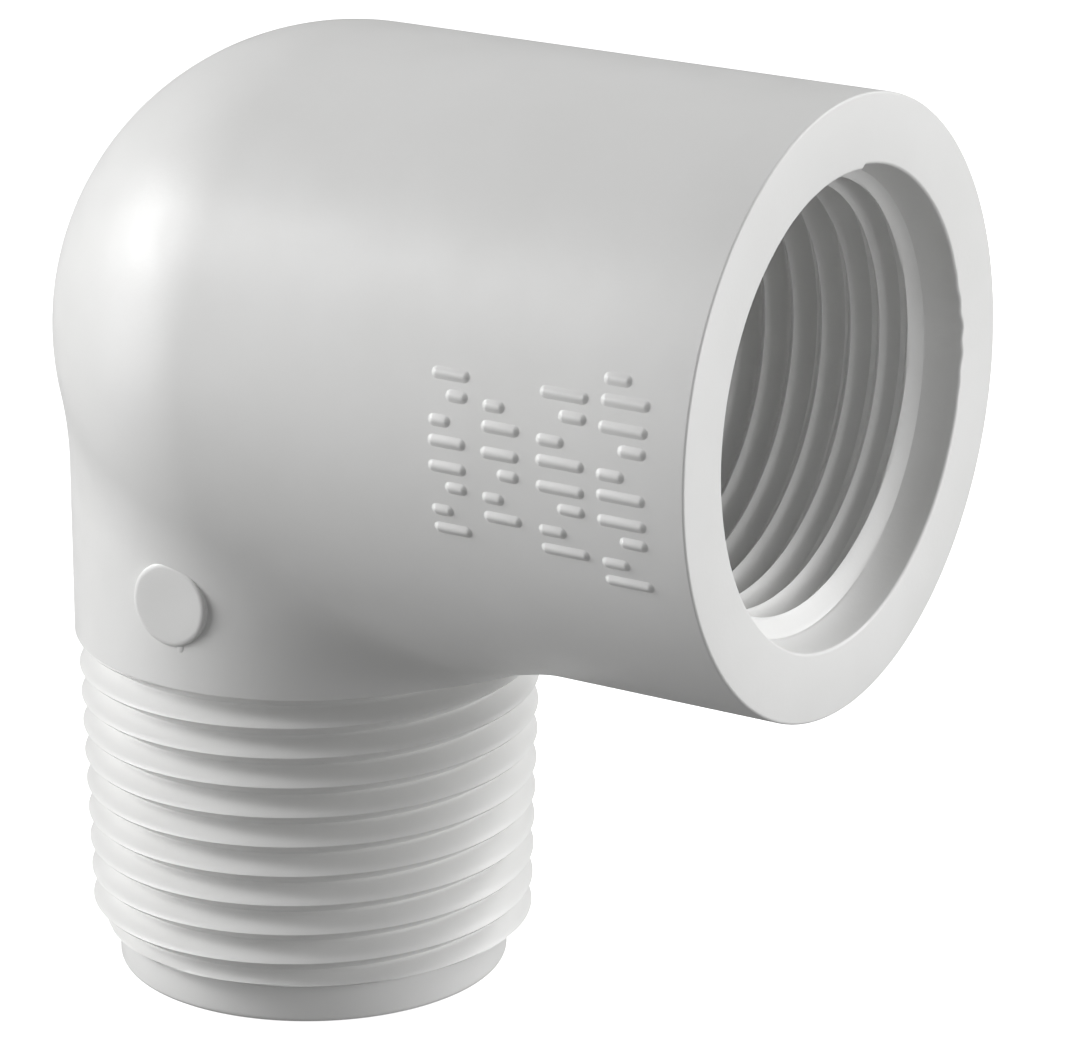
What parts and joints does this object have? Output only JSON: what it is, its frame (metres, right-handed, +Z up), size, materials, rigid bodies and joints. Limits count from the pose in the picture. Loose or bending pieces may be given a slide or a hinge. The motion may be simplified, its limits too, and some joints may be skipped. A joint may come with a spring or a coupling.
{
  "type": "threaded pipe elbow",
  "caption": "Right-angle threaded street elbow for irrigation pipe: tapered male thread on the leg, tapered female thread in the wider hub.",
  "frame": {"origin": "centre of the male end face, on the axis of the leg's water way", "axes": "+Z up the male leg towards the bend, +X along the hub axis out of the female mouth, so +Y completes a right-handed frame; the gate disc and the marking face -Y"},
  "size_m": [0.0491, 0.0348, 0.0565],
  "materials": {
    "moulded_body": "satin white moulded PVC"
  },
  "bodies": {
    "root": {"elbow_bend": "moulded_body", "female_hub": "moulded_body", "male_spigot": "moulded_body", "male_pilot": "moulded_body", "gate_pad": "moulded_body", "raised_marking": "moulded_body"}
  },
  "joints": []
}
